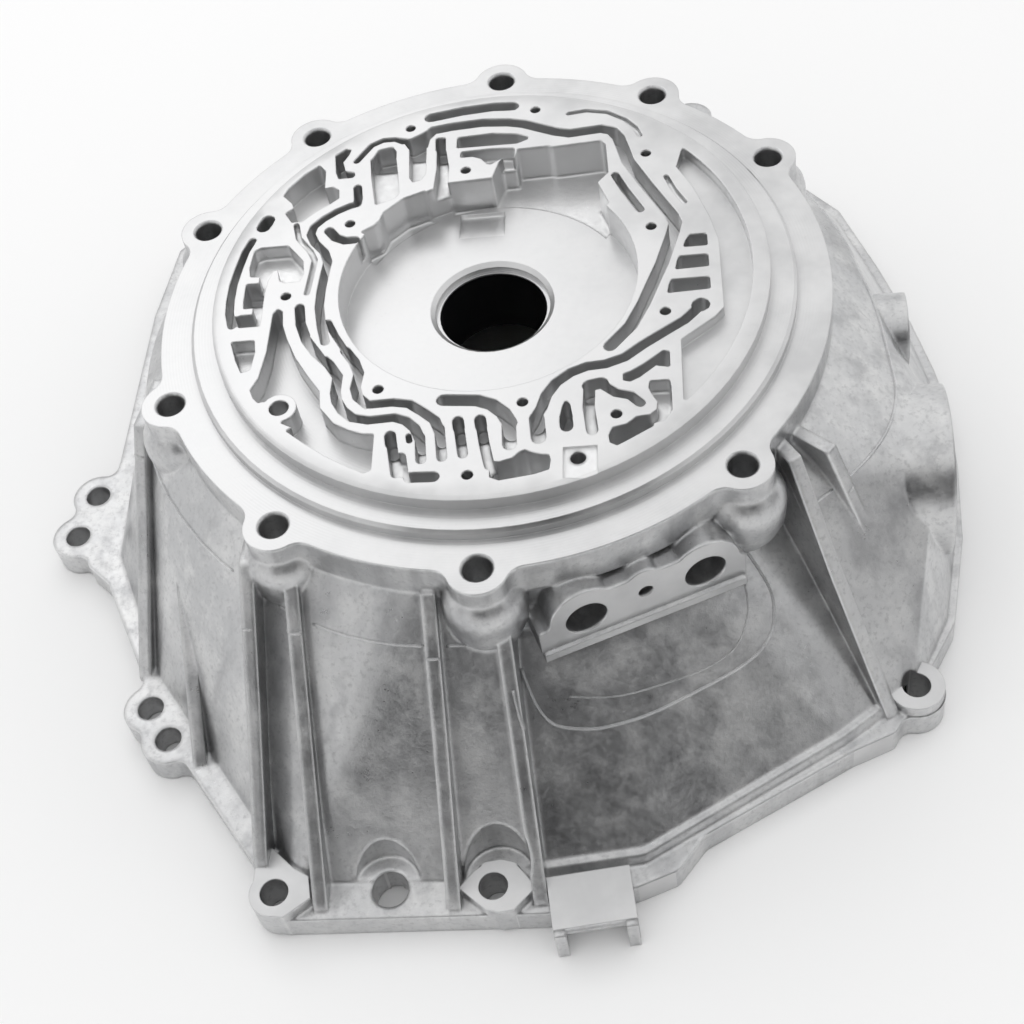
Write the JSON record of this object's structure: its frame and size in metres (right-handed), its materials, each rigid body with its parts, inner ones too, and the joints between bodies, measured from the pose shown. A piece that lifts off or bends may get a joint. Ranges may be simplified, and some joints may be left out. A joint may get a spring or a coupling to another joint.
{
  "type": "torque converter housing",
  "caption": "Cast aluminium torque converter housing with a stepped pilot, a plate of oil channels and a bell that widens to the engine flange.",
  "frame": {"origin": "bore axis at the level of the case flange face", "axes": "+Z along the bore axis towards the case side, X parallel to the straight foot edge of the engine flange, -Y towards that edge"},
  "size_m": [0.45, 0.4767, 0.144],
  "materials": {
    "cast_aluminium": "satin"
  },
  "bodies": {
    "root": {"housing": "cast_aluminium"}
  },
  "joints": []
}
